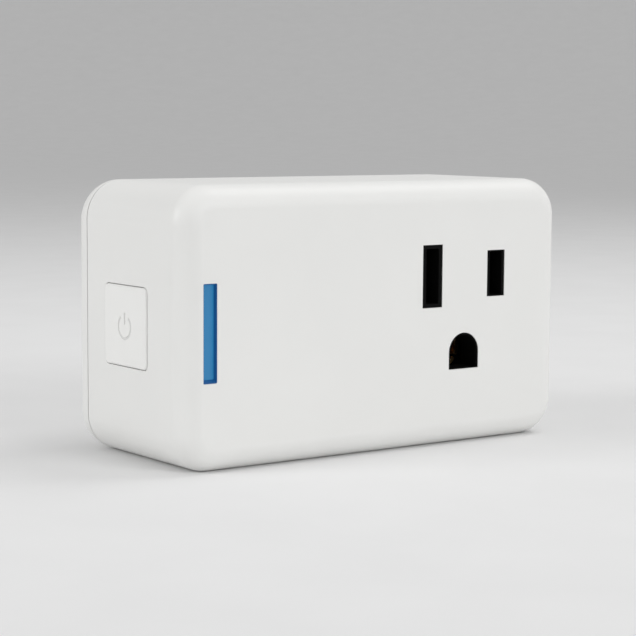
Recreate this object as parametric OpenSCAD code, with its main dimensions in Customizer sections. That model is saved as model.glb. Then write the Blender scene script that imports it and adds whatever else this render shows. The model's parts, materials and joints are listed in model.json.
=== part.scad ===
// Compact plug-in smart switch: a grounded three-prong plug behind, a socket, a light bar
// and a push button on a rounded box. Right end carries the socket, left end the button.
// Frame: +Z up, +Y into the wall, origin at the middle of the rear face (the wall plane).

/* [Body] */
// Width of the housing, left end to right end
body_w = 71.2; // [69:0.1:76]
// Depth of the housing, front face to wall plane
body_d = 33; // [32.8:0.1:38]
// Height of the housing
body_h = 40.8; // [39.5:0.1:46]
// Corner radius of the outline seen from the front
outline_r = 5.8; // [5:0.1:7]
// Rounding of the front edges
front_r = 3.5; // [2:0.1:3.6]
// Rounding of the rear edges, and the depth of the rear cover
rear_r = 6.5; // [5.5:0.1:6.5]
// Wall thickness
wall = 2; // [1.8:0.1:2.2]

/* [Socket and prongs] */
// Sideways offset of the socket and prongs from the middle
socket_x = 15.6; // [15:0.05:16.5]
// Height of the blade line above the middle
blade_z = 5.9; // [5.5:0.05:6.2]
// Distance between the two blades
blade_pitch = 12.7; // [12.7:0.1:12.7]
// Drop from the blade line to the ground pin
ground_drop = 11.9; // [11.9:0.1:11.9]
// Thickness of the blades
blade_t = 1.5; // [1.4:0.05:1.6]
// Height of the hot blade
hot_h = 6.35; // [6.2:0.05:6.5]
// Height of the wider neutral blade
neutral_h = 7.9; // [7.7:0.05:8]
// Length of the blades outside the wall plane
blade_len = 17.5; // [16:0.1:18.2]
// Radius of the ground pin
ground_r = 2.38; // [2.3:0.01:2.41]
// Length of the ground pin outside the wall plane
ground_len = 20.7; // [19:0.1:21]
// Width of the neutral slot in the front face
neutral_slot_w = 3.85; // [3:0.05:4]
// Width of the hot slot
hot_slot_w = 3.55; // [3:0.05:4]
// Height of the neutral slot
neutral_slot_h = 9.6; // [9:0.1:10]
// Height of the hot slot
hot_slot_h = 7.2; // [7:0.1:8]
// Radius of the arched ground hole
ground_hole_r = 2.95; // [2.8:0.05:3.2]
// Drop from the arch centre to the flat bottom of the ground hole
ground_hole_drop = 2.65; // [2.6:0.05:2.8]

/* [Light bar] */
// Distance from the left end to the middle of the light bar
bar_inset = 4.7; // [4.3:0.1:5.2]
// Width of the light bar
bar_w = 2.3; // [2:0.05:3]
// Height of the light bar
bar_h = 14.1; // [12:0.1:16]
// Depth of the light bar below the front face
bar_recess = 0.7; // [0.3:0.1:0.9]

/* [Button] */
// Height of the button and the light bar above the middle
control_z = -0.4; // [-0.6:0.05:0.6]
// Side of the square button
button_s = 11.8; // [10:0.1:12.5]
// Distance from the wall plane to the middle of the button
button_y = 17.85; // [17.5:0.05:19]
// How far the button stands proud of the end face
button_proud = 0.25; // [0.1:0.05:0.6]
// Travel of the button
button_travel = 0.5; // [0.3:0.05:0.6]

/* [Hidden] */
$fn = 64;
cut = 1;                              // how far cutters run past a face
fit = 0.1;                            // clearance between loose neighbours
front_y = -body_d;
seam_y = -rear_r;                     // where rear cover and front housing meet
seam_gap = 0.15;
left_x = -body_w / 2;
end_in_x = left_x + wall;             // inner face of the left end wall
front_in_y = front_y + wall;          // inner face of the front wall
ground_z = blade_z - ground_drop;
neutral_x = socket_x - blade_pitch / 2;
hot_x = socket_x + blade_pitch / 2;
// rear cover
cover_inset = 4;
cover_floor = 2.4;
lip_t = 1.3;
lip_d = 3;
lip_gap = 0.05;
// main board, parallel to the wall
board_t = 1.6;
board_y = -8.2;                       // rear face of the main board
board_front = board_y - board_t;
board_w = 62;
board_h = 32;
board_r = 2.2;
post_x = 28.6;
post_z = 13.2;
post_r = 2.4;
screw_r = 1.1;
screw_head_r = 2.1;
screw_head_t = 1.3;
screw_len = 5;
// socket block behind the front face
carrier_w = 25;
carrier_h = 26;
carrier_rear = -13.4;
carrier_front = front_in_y + fit;
carrier_face = 1.5;
collar_gap = 0.05;                    // between a collar and its slot in the front face
collar_recess = 0.05;                 // collars end this far below the front face
collar_t = 0.25;                      // wall of the ground hole's collar
lid_t = 1.6;
lid_rear = carrier_rear + lid_t;
rib_t = 1.2;
rib_gap = 0.25;
clip_t = 0.6;
clip_len = 13.4;
clip_front = -29.4;
clip_rear = clip_front + clip_len;
clip_h = 6;
tail_h = 1.8;
tail_z = blade_z - 4.7;               // lower edge of the contact tails
tail_end = board_y + 0.6;
ground_clip_front = -28;
ground_clip_rear = -16;
ground_clip_in = 2.45;
ground_clip_out = 3;
ground_tail_w = 2.4;
strap_t = 0.6;
strap_w = 6;
strap_h = 3.2;
retainer_rear = -cover_floor;
retainer_t = 4;
retainer_w = 21.6;
retainer_h = 22;
tab_h = 3;
tab_t = 1;
tab_end = board_front - 0.6;
pin_tail_r = 1.5;
// control board, standing on the main board behind the left end
control_x = -27.6;                    // face towards the button
control_t = 1.2;
control_h = 31.2;
control_front = -28.9;
control_rear = board_front - 0.3;
rail_t = 0.8;
rail_gap = 0.2;
header_s = 2.5;
header_h = 12.7;
pin_s = 0.64;
pin_pitch = 2.54;
switch_s = 6;
switch_t = 2.4;
plunger_r = 1.2;
plunger_front = 0.8;                  // plunger stand-out from the switch
dome_t = 0.2;
stem_r = 1.5;
button_r = 0.9;
button_flange = 0.8;
flange_t = 1;
led_w = 2.2;
led_h = 2.6;
led_d = 1.2;
led_z = 3.6;
wifi_t = 0.8;
wifi_w = 15;
wifi_h = 23;
wifi_front = -27.7;
shield_w = 12;
shield_h = 15;
shield_d = 2.4;
shield_t = 0.3;
// relay on the main board
relay_left = -14.2;
relay_w = 15.6;
relay_h = 11;
relay_d = 15.4;
relay_z = 10.4;
relay_wall = 0.7;
base_t = 1.5;
coil_x = -6.2;
flange_r = 4.4;
winding_r = 3.9;
core_r = 1.5;
pole_r = 2.6;
pole_t = 0.7;
coil_len = 8.4;
yoke_t = 1;
yoke_w = 7;
yoke_x = -11.7;
foot_y = board_front - base_t;        // front face of the relay base
coil_y = foot_y - yoke_t;
pole_y = coil_y - coil_len - pole_t;  // face of the magnet pole
armature_gap = 0.5;
armature_t = 0.8;
armature_w = 6.4;
armature_len = 9;
spring_t = 0.3;
spring_len = 12;
contact_r = 1.2;
contact_t = 0.6;
contact_x = -1.2;
// power supply
core_w = 13;
core_h = 12;
core_d = 11;
transformer_x = -7;
transformer_z = -7.6;
leg_w = 3;
supply_x = -18.4;
bulk_r = 4;
bulk_len = 12.5;
output_r = 3.1;
output_len = 11;
varistor_r = 3.3;
varistor_t = 3.4;
varistor_z = 12.4;
fuse_r = 1.7;
fuse_len = 8;
lead_r = 0.3;
lead_len = 2.2;

// A box given by its middle and size in X and Z, between two depths
module slab(x, z, w, h, y0, y1) {
    translate([x - w / 2, y0, z - h / 2])
        cube([w, y1 - y0, h]);
}

// A cylinder along Y between two depths
module rod_y(x, z, r, y0, y1) {
    translate([x, y0, z])
        rotate([-90, 0, 0])
            cylinder(h = y1 - y0, r = r);
}

// A cylinder along X between two positions
module rod_x(y, z, r, x0, x1) {
    translate([x0, y, z])
        rotate([0, 90, 0])
            cylinder(h = x1 - x0, r = r);
}

// Rectangle with round corners, centred
module round_rect(w, h, r) {
    square([w - 2 * r, h], center = true);
    square([w, h - 2 * r], center = true);
    for (sx = [-1, 1], sz = [-1, 1])
        translate([sx * (w / 2 - r), sz * (h / 2 - r)])
            circle(r);
}

// Rounded outline extruded along Y between two depths
module outline(inset, y0, y1) {
    translate([0, y1, 0])
        rotate([90, 0, 0])
            linear_extrude(y1 - y0)
                round_rect(body_w - 2 * inset, body_h - 2 * inset, outline_r - inset);
}

// Outline of the body seen along a side: round at the front, rounder at the wall
module side_profile(span) {
    polygon([[-span / 2, front_y + front_r], [-span / 2, -rear_r], [span / 2, -rear_r],
        [span / 2, front_y + front_r]]);
    translate([-span / 2 + front_r, front_y])
        square([span - 2 * front_r, body_d / 2]);
    translate([-span / 2 + rear_r, -body_d / 2])
        square([span - 2 * rear_r, body_d / 2]);
    for (s = [-1, 1]) {
        translate([s * (span / 2 - front_r), front_y + front_r])
            circle(front_r);
        translate([s * (span / 2 - rear_r), -rear_r])
            circle(rear_r);
    }
}

// Solid outer form of the whole housing
module outer_form() {
    intersection() {
        outline(0, front_y, 0);
        translate([0, 0, -body_h / 2])
            linear_extrude(body_h)
                side_profile(body_w);
        translate([-body_w / 2, 0, 0])
            rotate([90, 0, 90])
                linear_extrude(body_w)
                    mirror([1, -1])
                        side_profile(body_h);
    }
}

// Everything of the outer form between two depths
module form_between(y0, y1) {
    intersection() {
        outer_form();
        slab(0, 0, body_w + 2 * cut, body_h + 2 * cut, y0, y1);
    }
}

// Arched ground hole: round above the pin's axis, flat below it
module ground_arch(r, drop, y0, y1) {
    intersection() {
        union() {
            rod_y(socket_x, ground_z, r, y0, y1);
            translate([socket_x - r, y0, ground_z - r - cut])
                cube([2 * r, y1 - y0, r + cut]);
        }
        translate([socket_x - r - cut, y0, ground_z - drop])
            cube([2 * (r + cut), y1 - y0, drop + r + cut]);
    }
}

// The two blade slots and the ground hole of the front face, shrunk by a gap
module socket_form(gap) {
    y0 = front_y - cut;
    y1 = front_in_y + cut;
    slab(neutral_x, blade_z, neutral_slot_w - 2 * gap, neutral_slot_h - 2 * gap, y0, y1);
    slab(hot_x, blade_z, hot_slot_w - 2 * gap, hot_slot_h - 2 * gap, y0, y1);
    ground_arch(ground_hole_r - gap, ground_hole_drop - gap, y0, y1);
}

// Places its children at the four board posts
module at_posts() {
    for (sx = [-1, 1], sz = [-1, 1])
        translate([sx * post_x, 0, sz * post_z])
            children();
}

// Front shell: front face, four sides, locating ribs and board rails
module front_housing() {
    color("white")
        difference() {
            union() {
                difference() {
                    form_between(front_y, seam_y - seam_gap);
                    outline(wall, front_in_y, 0);
                }
                carrier_ribs();
                board_rails();
            }
            socket_form(0);
            slab(left_x + bar_inset, control_z, bar_w, bar_h, front_y - cut, front_in_y + cut);
            translate([left_x - cut, -button_y, control_z])
                rotate([90, 0, 90])
                    linear_extrude(wall + 2 * cut)
                        round_rect(button_s + 2 * fit, button_s + 2 * fit, button_r + fit);
        }
}

// L-shaped ribs that hold the four corners of the socket block
module carrier_ribs() {
    rib_len = 4;
    rib_d = 8;
    for (sx = [-1, 1], sz = [-1, 1])
        translate([socket_x + sx * (carrier_w / 2 + rib_gap), front_in_y,
            sz * (carrier_h / 2 + rib_gap)])
            mirror([sx < 0 ? 1 : 0, 0, 0])
                mirror([0, 0, sz < 0 ? 1 : 0]) {
                    translate([0, -fit, -rib_len])
                        cube([rib_t, rib_d, rib_len + rib_t]);
                    translate([-rib_len, -fit, 0])
                        cube([rib_len + rib_t, rib_d, rib_t]);
                }
}

// Rails on the top and bottom walls that guide the control board
module board_rails() {
    rail_h = 3.4;
    rail_d = 18;
    for (side = [-1, 1], face = [0, 1])
        translate([face == 0 ? control_x - rail_gap - rail_t : control_x + control_t + rail_gap,
            front_in_y - fit, side < 0 ? -body_h / 2 + wall - fit : body_h / 2 - wall - rail_h])
            cube([rail_t, rail_d, rail_h + fit]);
}

// Rear cover: rounded back plate with a lip, screw posts and prong openings
module rear_cover() {
    color("white")
        difference() {
            union() {
                difference() {
                    form_between(seam_y, 0);
                    outline(cover_inset, seam_y - cut, -cover_floor);
                }
                difference() {
                    outline(wall + lip_gap, seam_y - lip_d, seam_y + fit);
                    outline(wall + lip_gap + lip_t, seam_y - lip_d - cut, seam_y + cut);
                }
                at_posts()
                    rod_y(0, 0, post_r, board_y, -cover_floor + fit);
            }
            at_posts()
                rod_y(0, 0, screw_r + 0.05, board_y - cut, board_y + screw_len);
            slab(neutral_x, blade_z, blade_t + fit, neutral_h + fit, -cover_floor - cut, cut);
            slab(hot_x, blade_z, blade_t + fit, hot_h + fit, -cover_floor - cut, cut);
            rod_y(socket_x, ground_z, ground_r + fit / 2, -cover_floor - cut, cut);
        }
}

// Translucent light bar with a flange behind the front wall
module light_pipe() {
    flange = 0.6;
    flange_y = front_in_y + 1.1;
    guide_h = 12;
    bar_x = left_x + bar_inset;
    guide_left = bar_x - bar_w / 2;
    guide_w = control_x - 0.2 - guide_left;
    color("dodgerblue") {
        slab(bar_x, control_z, bar_w - fit, bar_h - fit, front_y + bar_recess,
            front_in_y + fit);
        slab(guide_left + guide_w / 2 - flange / 2, control_z, guide_w + flange,
            bar_h + 2 * flange, front_in_y + fit, flange_y);
        slab(guide_left + guide_w / 2, control_z, guide_w, guide_h, flange_y,
            control_front - 0.1);
    }
}

// Push button: face plate, retaining flange and stem
module button_cap() {
    flange_x = end_in_x + 0.05;
    stem_x = flange_x + flange_t;
    color("white") {
        translate([left_x - button_proud, -button_y, control_z])
            rotate([90, 0, 90])
                linear_extrude(flange_x - left_x + button_proud)
                    round_rect(button_s, button_s, button_r);
        translate([flange_x, -button_y - button_s / 2 - button_flange,
            control_z - button_s / 2 - button_flange])
            cube([flange_t, button_s + 2 * button_flange, button_s + 2 * button_flange]);
        rod_x(-button_y, control_z, stem_r, stem_x, control_x - switch_t - plunger_front);
    }
}

// Dark block behind the front face that holds the three socket contacts
module contact_carrier() {
    cavity_w = 5.2;
    cavity_h = 10;
    slot_in_w = 2.4;
    inner_front = carrier_front + carrier_face;
    color("dimgray")
        difference() {
            union() {
                slab(socket_x, 0, carrier_w, carrier_h, carrier_front, carrier_rear);
                intersection() {
                    socket_form(collar_gap);
                    slab(socket_x, 0, carrier_w, carrier_h, front_y + collar_recess,
                        inner_front);
                }
            }
            slab(neutral_x, blade_z, slot_in_w, neutral_h + 0.5, front_y, inner_front + cut);
            slab(hot_x, blade_z, slot_in_w, hot_h + 0.4, front_y, inner_front + cut);
            ground_arch(ground_hole_r - collar_gap - collar_t,
                ground_hole_drop - collar_gap - collar_t / 2, front_y, inner_front + cut);
            for (x = [neutral_x, hot_x])
                slab(x, blade_z, cavity_w, cavity_h, inner_front, carrier_rear + cut);
            rod_y(socket_x, ground_z, ground_clip_out + 0.7, inner_front, carrier_rear + cut);
            at_pegs()
                rod_y(0, 0, 1.1, carrier_rear - 4, carrier_rear + cut);
        }
}

// Places its children at the four lid pegs
module at_pegs() {
    peg_x = 10.4;
    peg_z = 10.8;
    for (sx = [-1, 1], sz = [-1, 1])
        translate([socket_x + sx * peg_x, 0, sz * peg_z])
            children();
}

// Lid that closes the socket block and stands on the main board
module carrier_lid() {
    color("dimgray")
        difference() {
            union() {
                slab(socket_x, 0, carrier_w, carrier_h, carrier_rear, lid_rear);
                at_pegs()
                    rod_y(0, 0, 1, carrier_rear - 3.6, board_front);
            }
            slab(neutral_x, tail_z + tail_h / 2, clip_t + 0.4, tail_h + 0.4,
                carrier_rear - cut, lid_rear + cut);
            slab(hot_x, tail_z + tail_h / 2, clip_t + 0.4, tail_h + 0.4,
                carrier_rear - cut, lid_rear + cut);
            slab(socket_x, ground_z, ground_tail_w + 0.4, clip_t + 0.4,
                carrier_rear - cut, lid_rear + cut);
        }
}

// Spring clip seen from above: two leaves with a flared mouth, a pinch and a straight back
module clip_profile() {
    mouth = 2.1;
    pinch = 0.7;
    back = 1.5;
    for (s = [0, 1])
        mirror([s, 0])
            polygon([[mouth, 0], [pinch, 3], [pinch, 4.4], [back, 7.4], [back, clip_len - clip_t],
                [0, clip_len - clip_t], [0, clip_len], [back + clip_t, clip_len],
                [back + clip_t, 7.2], [pinch + clip_t, 4.2], [pinch + clip_t, 3.2],
                [mouth + clip_t * 0.8, 0]]);
}

// Spring clip that grips a blade, with a solder tail
module blade_contact(x) {
    translate([x, clip_front, blade_z - clip_h / 2])
        linear_extrude(clip_h)
            clip_profile();
    translate([x - clip_t / 2, clip_rear - clip_t, tail_z])
        cube([clip_t, clip_t, clip_h / 2]);
    translate([x - clip_t / 2, clip_rear - clip_t, tail_z])
        cube([clip_t, tail_end - clip_rear + clip_t, tail_h]);
}

module neutral_contact() {
    color("goldenrod")
        blade_contact(neutral_x);
}

module hot_contact() {
    color("goldenrod")
        blade_contact(hot_x);
}

// Split sleeve that grips the ground pin, with a tail
module ground_contact() {
    slit = 0.5;
    slit_len = 8;
    color("goldenrod") {
        difference() {
            rod_y(socket_x, ground_z, ground_clip_out, ground_clip_front, ground_clip_rear);
            rod_y(socket_x, ground_z, ground_clip_in, ground_clip_front - cut,
                ground_clip_rear - clip_t);
            for (a = [30, 150, 270])
                translate([socket_x, 0, ground_z])
                    rotate([0, a, 0])
                        translate([0, ground_clip_front - cut, -slit / 2])
                            cube([ground_clip_out + cut, slit_len + cut, slit]);
        }
        slab(socket_x, ground_z, ground_tail_w, clip_t, ground_clip_rear, board_front - strap_t);
    }
}

// Plate that joins the ground contact's tail to the ground pin
module ground_strap() {
    color("goldenrod")
        slab(socket_x, ground_z, strap_w, strap_h, board_front - strap_t, board_front);
}

// Flat blade with a chamfered tip, a round hole, a wide root and a narrow solder tab
module blade(x, h) {
    tip = 1.6;
    root = 1.2;
    hole_r = 1.6;
    hole_y = 11.7;
    translate([x - blade_t / 2, 0, blade_z])
        rotate([90, 0, 90])
            linear_extrude(blade_t)
                difference() {
                    polygon([[retainer_rear - retainer_t, -h / 2], [blade_len - tip, -h / 2],
                        [blade_len, -h / 2 + tip], [blade_len, h / 2 - tip],
                        [blade_len - tip, h / 2], [retainer_rear - retainer_t, h / 2]]);
                    translate([hole_y, 0])
                        circle(hole_r);
                }
    slab(x, blade_z, blade_t, h + root, retainer_rear - retainer_t, retainer_rear - retainer_t + 1);
    slab(x, blade_z, tab_t, tab_h, tab_end, retainer_rear - retainer_t);
}

module neutral_blade() {
    color("silver")
        blade(neutral_x, neutral_h);
}

module hot_blade() {
    color("silver")
        blade(hot_x, hot_h);
}

// Round ground pin with a domed tip, a slimmer neck inside, a collar and a thin tail
module ground_pin() {
    shoulder = retainer_rear - retainer_t;
    neck_r = ground_r - 0.2;
    neck_end = 0.2;
    color("silver")
        translate([socket_x, 0, ground_z])
            rotate([-90, 0, 0])
                rotate_extrude()
                    union() {
                        translate([0, shoulder])
                            square([neck_r, neck_end + cut - shoulder]);
                        translate([0, neck_end])
                            square([ground_r, ground_len - ground_r - neck_end]);
                        translate([0, ground_len - ground_r])
                            intersection() {
                                circle(ground_r);
                                square(ground_r);
                            }
                        translate([0, shoulder])
                            square([ground_r + 0.8, 1]);
                        translate([0, board_front])
                            square([pin_tail_r, shoulder - board_front]);
                    }
}

// Insulating block that locks the three prongs against the rear cover
module prong_retainer() {
    front = retainer_rear - retainer_t;
    mid_z = (blade_z + ground_z) / 2;
    color("gainsboro")
        difference() {
            slab(socket_x, mid_z, retainer_w, retainer_h, front, retainer_rear);
            slab(neutral_x, blade_z, blade_t + fit, neutral_h + fit, front - cut,
                retainer_rear + cut);
            slab(hot_x, blade_z, blade_t + fit, hot_h + fit, front - cut, retainer_rear + cut);
            slab(neutral_x, blade_z, blade_t + fit, neutral_h + 1.3, front - cut, front + 1.05);
            slab(hot_x, blade_z, blade_t + fit, hot_h + 1.3, front - cut, front + 1.05);
            rod_y(socket_x, ground_z, ground_r + 0.05, front - cut, retainer_rear + cut);
            rod_y(socket_x, ground_z, ground_r + 0.85, front - cut, front + 1.05);
        }
}

// Main circuit board, parallel to the wall
module main_board() {
    color("green")
        difference() {
            translate([0, board_y, 0])
                rotate([90, 0, 0])
                    linear_extrude(board_t)
                        round_rect(board_w, board_h, board_r);
            at_posts()
                rod_y(0, 0, screw_r + 0.25, board_front - cut, board_y + cut);
            for (x = [neutral_x, hot_x]) {
                slab(x, blade_z, tab_t + 0.3, tab_h + 0.3, board_front - cut, board_y + cut);
                slab(x, tail_z + tail_h / 2, clip_t + 0.3, tail_h + 0.3, board_front - cut,
                    board_y + cut);
            }
            rod_y(socket_x, ground_z, pin_tail_r + fit, board_front - cut, board_y + cut);
            for (i = [-2:2])
                slab(control_x + control_t + header_s / 2, i * pin_pitch, pin_s + 0.3, pin_s + 0.3,
                    board_front - cut, board_y + cut);
            varistor_leads(lead_r + 0.1);
        }
}

// Four pan-head screws that hold the main board to the rear cover
module board_screws() {
    slot = 0.5;
    color("lightgray")
        at_posts()
            difference() {
                union() {
                    rod_y(0, 0, screw_head_r, board_front - screw_head_t, board_front);
                    rod_y(0, 0, screw_r, board_front, board_y + screw_len - 0.6);
                }
                slab(0, 0, 2.6, slot, board_front - screw_head_t - cut,
                    board_front - screw_head_t + 0.7);
                slab(0, 0, slot, 2.6, board_front - screw_head_t - cut,
                    board_front - screw_head_t + 0.7);
            }
}

// Small upright board that carries the switch, the lights and the radio
module control_board() {
    notch_d = board_front - screw_head_t - 0.5;
    tab = 18;
    color("green") {
        translate([control_x, control_front, -control_h / 2])
            cube([control_t, notch_d - control_front, control_h]);
        translate([control_x, control_front, -tab / 2])
            cube([control_t, control_rear - control_front, tab]);
    }
}

// Plastic strip of the pin header between the two boards
module board_header() {
    x = control_x + control_t;
    color("dimgray")
        difference() {
            translate([x, board_front - header_s, -header_h / 2])
                cube([header_s, header_s, header_h]);
            for (i = [-2:2])
                slab(x + header_s / 2, i * pin_pitch, pin_s + 0.02, pin_s + 0.02,
                    board_front - header_s - cut, board_front + cut);
        }
}

// Five square pins through the header
module header_pins() {
    color("gold")
        for (i = [-2:2])
            slab(control_x + control_t + header_s / 2, i * pin_pitch, pin_s, pin_s,
                board_front - header_s - 0.6, board_y + 1);
}

// Two side-shining lights at the front edge of the control board
module status_leds() {
    color("white")
        for (s = [-1, 1])
            translate([control_x - led_w, control_front, control_z + s * led_z - led_h / 2])
                cube([led_w, led_d, led_h]);
}

// Square body of the push switch
module switch_body() {
    front = control_x - switch_t;
    color("dimgray")
        difference() {
            translate([front, -button_y - switch_s / 2, control_z - switch_s / 2])
                cube([switch_t, switch_s, switch_s]);
            rod_x(-button_y, control_z, plunger_r + 0.1, front - cut, control_x - 0.5);
            rod_x(-button_y, control_z, 2.2, control_x - 0.5 - dome_t - 0.1, control_x - 0.5);
        }
}

// Thin snap dome at the bottom of the switch
module switch_dome() {
    color("silver")
        rod_x(-button_y, control_z, 2.1, control_x - 0.5 - dome_t, control_x - 0.5);
}

// Plunger that the button pushes
module switch_plunger() {
    front = control_x - switch_t - plunger_front;
    color("white")
        rod_x(-button_y, control_z, plunger_r, front,
            control_x - 0.5 - dome_t - button_travel - 0.1);
}

// Radio module board on the inner face of the control board
module wifi_board() {
    color("darkblue")
        translate([control_x + control_t, wifi_front, -wifi_h / 2])
            cube([wifi_t, wifi_w, wifi_h]);
}

// Shield can over the radio chip, open towards its board
module wifi_shield() {
    x = control_x + control_t + wifi_t;
    y = wifi_front + (wifi_w - shield_w) / 2;
    z = -wifi_h / 2 + 1.5;
    color("silver")
        difference() {
            translate([x, y, z])
                cube([shield_d, shield_w, shield_h]);
            translate([x - cut, y + shield_t, z + shield_t])
                cube([shield_d + cut - shield_t, shield_w - 2 * shield_t, shield_h - 2 * shield_t]);
        }
}

// Folded antenna track at the free end of the radio module
module wifi_antenna() {
    x = control_x + control_t + wifi_t;
    track = 0.5;
    height = 0.15;
    step = 1.6;
    y = wifi_front + 2;
    z = 6.6;
    rise = 3.6;
    color("goldenrod")
        for (i = [0:6]) {
            translate([x, y + i * step, z])
                cube([height, track, rise]);
            if (i < 6)
                translate([x, y + i * step, i % 2 == 0 ? z + rise - track : z])
                    cube([height, step + track, track]);
        }
}

// Relay base plate
module relay_base() {
    color("dimgray")
        slab(relay_left + relay_w / 2, relay_z, relay_w - 2 * relay_wall - fit,
            relay_h - 2 * relay_wall - fit, foot_y, board_front);
}

// Relay cover, open towards the board
module relay_case() {
    x = relay_left + relay_w / 2;
    color("royalblue")
        difference() {
            slab(x, relay_z, relay_w, relay_h, board_front - relay_d, board_front);
            slab(x, relay_z, relay_w - 2 * relay_wall, relay_h - 2 * relay_wall,
                board_front - relay_d + relay_wall, board_front + cut);
        }
}

// Spool of the relay coil
module relay_bobbin() {
    bobbin_flange = 0.8;
    far = coil_y - coil_len;
    color("ivory")
        difference() {
            union() {
                rod_y(coil_x, relay_z, flange_r, coil_y - bobbin_flange, coil_y);
                rod_y(coil_x, relay_z, flange_r, far, far + bobbin_flange);
                rod_y(coil_x, relay_z, 2.3, far, coil_y);
            }
            rod_y(coil_x, relay_z, core_r + 0.05, far - cut, coil_y + cut);
        }
}

// Wound copper wire on the spool
module relay_winding() {
    color("chocolate")
        difference() {
            rod_y(coil_x, relay_z, winding_r, coil_y - coil_len + 0.85, coil_y - 0.85);
            rod_y(coil_x, relay_z, 2.35, coil_y - coil_len, coil_y);
        }
}

// Iron core with its pole face and rivet end
module relay_core() {
    color("silver") {
        rod_y(coil_x, relay_z, core_r, coil_y - coil_len, coil_y);
        rod_y(coil_x, relay_z, pole_r, pole_y, coil_y - coil_len);
        rod_y(coil_x, relay_z, 1, coil_y, foot_y);
    }
}

// L-shaped iron yoke beside and under the coil
module relay_yoke() {
    color("silver")
        difference() {
            union() {
                slab(yoke_x + yoke_t / 2, relay_z, yoke_t, yoke_w, pole_y, foot_y);
                slab((yoke_x + coil_x + 3) / 2, relay_z, coil_x + 3 - yoke_x, yoke_w, coil_y,
                    foot_y);
            }
            rod_y(coil_x, relay_z, 1.05, coil_y - cut, foot_y + cut);
        }
}

// Hinged iron plate that the coil pulls in
module relay_armature() {
    color("gray")
        slab(yoke_x + armature_len / 2, relay_z, armature_len, armature_w,
            pole_y - armature_gap - armature_t, pole_y - armature_gap);
}

// Copper spring on the armature with the moving contact
module contact_spring() {
    y = pole_y - armature_gap - armature_t;
    color("orange") {
        slab(yoke_x + spring_len / 2, relay_z, spring_len, 3.4, y - spring_t, y);
        rod_y(contact_x, relay_z, contact_r, y, y + contact_t);
    }
}

// Fixed contact on its post beside the coil
module fixed_contact() {
    y = pole_y - armature_gap - armature_t + contact_t + 0.65;
    color("orange") {
        slab(contact_x, relay_z, clip_t, 3, y + 0.4, foot_y);
        rod_y(contact_x, relay_z, contact_r - 0.2, y, y + 0.4);
    }
}

// Ferrite core of the supply transformer: two outer legs, a middle leg and two yokes
module transformer_core() {
    x = transformer_x;
    z = transformer_z;
    y1 = board_front - 0.8;
    y0 = y1 - core_d;
    color("dimgray") {
        for (s = [-1, 1])
            slab(x + s * (core_w - leg_w / 2 - 0.5) / 2, z, leg_w / 2 + 0.5, 6, y0, y1);
        slab(x, z, leg_w, 6, y0, y1);
        slab(x, z, core_w, 6, y0, y0 + 2);
        slab(x, z, core_w, 6, y1 - 2, y1);
    }
}

// Coil former of the transformer
module transformer_bobbin() {
    x = transformer_x;
    z = transformer_z;
    y1 = board_front - 2.85;
    y0 = board_front - 0.8 - core_d + 2.05;
    color("ivory")
        difference() {
            union() {
                slab(x, z, 8.8, core_h, y1 - 0.7, y1);
                slab(x, z, 8.8, core_h, y0, y0 + 0.7);
                slab(x, z, leg_w + 1.2, 7.2, y0, y1);
            }
            slab(x, z, leg_w + 0.1, 6.1, y0 - cut, y1 + cut);
        }
}

// Taped winding of the transformer
module transformer_winding() {
    x = transformer_x;
    z = transformer_z;
    y1 = board_front - 3.6;
    y0 = board_front - 0.8 - core_d + 2.8;
    color("khaki")
        difference() {
            slab(x, z, 8.4, 11.4, y0, y1);
            slab(x, z, leg_w + 1.3, 7.3, y0 - cut, y1 + cut);
        }
}

// Round electrolytic capacitor standing on the main board
module round_capacitor(z, r, h) {
    rod_y(supply_x, z, r, board_front - h, board_front);
}

module bulk_capacitors() {
    color("darkslategray")
        for (z = [-11.4, -2.9])
            round_capacitor(z, bulk_r, bulk_len);
}

module output_capacitor() {
    color("darkslategray")
        round_capacitor(5.4, output_r, output_len);
}

// Two leads of the surge absorber, through the main board
module varistor_leads(r) {
    for (s = [-1, 1])
        rod_y(supply_x, varistor_z + s * 2, r, board_front - lead_len - varistor_r, board_y + 0.8);
}

// Disc surge absorber on two leads
module varistor() {
    color("steelblue") {
        rod_x(board_front - lead_len - varistor_r, varistor_z, varistor_r,
            supply_x - varistor_t / 2, supply_x + varistor_t / 2);
        varistor_leads(lead_r);
    }
}

// Cartridge fuse lying between relay and transformer
module fuse() {
    y = board_front - 0.4 - fuse_r;
    z = 1.6;
    x = transformer_x;
    color("beige") {
        rod_x(y, z, fuse_r, x - fuse_len / 2, x + fuse_len / 2);
        for (s = [-1, 1])
            rod_x(y, z, fuse_r + 0.1, s < 0 ? x - fuse_len / 2 : x + fuse_len / 2 - 1.6,
                s < 0 ? x - fuse_len / 2 + 1.6 : x + fuse_len / 2);
    }
}

// Rectifier on the wall side of the main board
module bridge_rectifier() {
    color("black")
        slab(-20, 0, 6.4, 8, board_y, board_y + 2.4);
}

// Power supply controller on the wall side of the main board
module converter_chip() {
    color("black")
        slab(-8, -8, 5, 4, board_y, board_y + 1.5);
}

// Small surface-mounted parts in two rows on the wall side of the main board
module smd_parts() {
    color("tan")
        for (row = [0, 1], i = [0:4])
            slab(-14 + i * 3.4, row == 0 ? 3 : 7, 2, 1.25, board_y, board_y + 0.6);
}

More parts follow.
